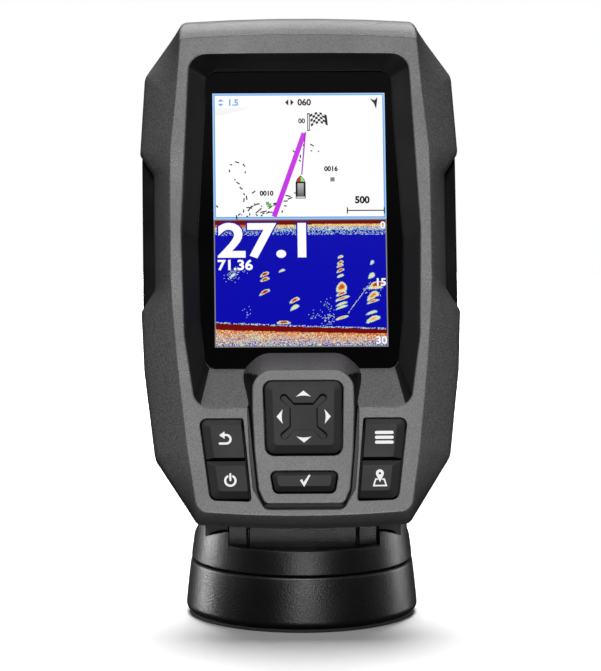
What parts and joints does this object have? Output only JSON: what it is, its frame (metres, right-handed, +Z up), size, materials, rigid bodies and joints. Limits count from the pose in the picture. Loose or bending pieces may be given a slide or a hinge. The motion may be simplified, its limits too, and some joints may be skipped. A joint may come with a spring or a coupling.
{
  "type": "fish finder",
  "caption": "Compact portrait fish finder: a sloping display head with a rubber keypad, on a tilting cradle over a round swivelling base.",
  "frame": {"origin": "centre of the underside of the base, on the swivel axis", "axes": "+Z up, the screen faces -Y, +X to the right of somebody looking at the screen"},
  "size_m": [0.09, 0.1011, 0.1621],
  "materials": {
    "bezel_plastic": "fine-textured dark charcoal moulding",
    "housing_plastic": "fine-textured near-black moulding",
    "mount_plastic": "satin black moulding with a fine grain",
    "bearing_plastic": "smooth acetal",
    "key_rubber": "matt silicone rubber",
    "seal_rubber": "matt rubber",
    "foot_rubber": "soft foam rubber",
    "cover_glass": "polished, with a printed black border",
    "display": "colour display film",
    "steel": "plain machined or stamped",
    "contact_brass": "plated contacts in a moulded insert",
    "circuit_board": "solder-masked glass fibre",
    "flex_film": "polyimide flat cable",
    "ceramic": "fired ceramic patch"
  },
  "bodies": {
    "base": {"foot_pad": "foot_rubber", "base_shell": "mount_plastic", "friction_ring": "bearing_plastic", "swivel_washer": "steel"},
    "swivel": {"swivel_body": "mount_plastic", "swivel_screw": "steel", "tilt_pin": "steel", "ear_cap_right": "mount_plastic", "ear_cap_left": "mount_plastic", "tilt_washer_right": "steel", "tilt_washer_left": "steel"},
    "cradle": {"cradle": "mount_plastic"},
    "head": {"front_bezel": "bezel_plastic", "rear_housing": "housing_plastic", "housing_gasket": "seal_rubber", "vent_plug": "seal_rubber", "cover_glass": "cover_glass", "glass_seal": "seal_rubber", "lcd_panel": "display", "backlight_tray": "steel", "main_board": "circuit_board", "keypad_board": "circuit_board", "keypad_membrane": "key_rubber", "gps_antenna": "ceramic", "sounder": "housing_plastic", "display_ribbon": "flex_film", "keypad_ribbon": "flex_film", "connector_shell": "housing_plastic", "connector_insert": "contact_brass", "connector_seal": "seal_rubber", "housing_screw_upper_right": "steel", "housing_screw_upper_left": "steel", "housing_screw_lower_right": "steel", "housing_screw_lower_left": "steel", "back_dome": "steel", "power_dome": "steel", "menu_dome": "steel", "waypoint_dome": "steel", "select_dome": "steel", "up_dome": "steel", "down_dome": "steel", "left_dome": "steel", "right_dome": "steel"},
    "back_key": {"back_key": "key_rubber"},
    "power_key": {"power_key": "key_rubber"},
    "menu_key": {"menu_key": "key_rubber"},
    "waypoint_key": {"waypoint_key": "key_rubber"},
    "select_key": {"select_key": "key_rubber"},
    "pad_rocker": {"pad_rocker": "bearing_plastic"},
    "pad_cap": {"pad_cap": "key_rubber"}
  },
  "joints": [
    {"name": "swivel_turn", "type": "hinge", "parent": "base", "child": "swivel", "pos_m": [0, 0, 0.0156], "axis": [0, 0, 1], "range_deg": [-90, 90]},
    {"name": "tilt", "type": "hinge", "parent": "swivel", "child": "cradle", "pos_m": [0, 0, 0.029], "axis": [1, 0, 0], "range_deg": [-28, 4]},
    {"name": "head_release", "type": "slide", "parent": "cradle", "child": "head", "axis": [0, 0.4067, 0.9135], "range_m": [0, 0.025]},
    {"name": "back_press", "type": "slide", "parent": "head", "child": "back_key", "axis": [0, 0.9135, -0.4067], "range_m": [0, 0.0008], "stiffness_N_per_m": 2000},
    {"name": "power_press", "type": "slide", "parent": "head", "child": "power_key", "axis": [0, 0.9135, -0.4067], "range_m": [0, 0.0008], "stiffness_N_per_m": 2000},
    {"name": "menu_press", "type": "slide", "parent": "head", "child": "menu_key", "axis": [0, 0.9135, -0.4067], "range_m": [0, 0.0008], "stiffness_N_per_m": 2000},
    {"name": "waypoint_press", "type": "slide", "parent": "head", "child": "waypoint_key", "axis": [0, 0.9135, -0.4067], "range_m": [0, 0.0008], "stiffness_N_per_m": 2000},
    {"name": "select_press", "type": "slide", "parent": "head", "child": "select_key", "axis": [0, 0.9135, -0.4067], "range_m": [0, 0.0008], "stiffness_N_per_m": 2000},
    {"name": "pad_up_down", "type": "hinge", "parent": "head", "child": "pad_rocker", "pos_m": [0, -0.00906, 0.05536], "axis": [1, 0, 0], "range_deg": [-2.5, 2.5], "stiffness_Nm_per_rad": 0.4},
    {"name": "pad_left_right", "type": "hinge", "parent": "pad_rocker", "child": "pad_cap", "pos_m": [0, -0.00906, 0.05536], "axis": [0, 0.4067, 0.9135], "range_deg": [-2.5, 2.5], "stiffness_Nm_per_rad": 0.4}
  ]
}
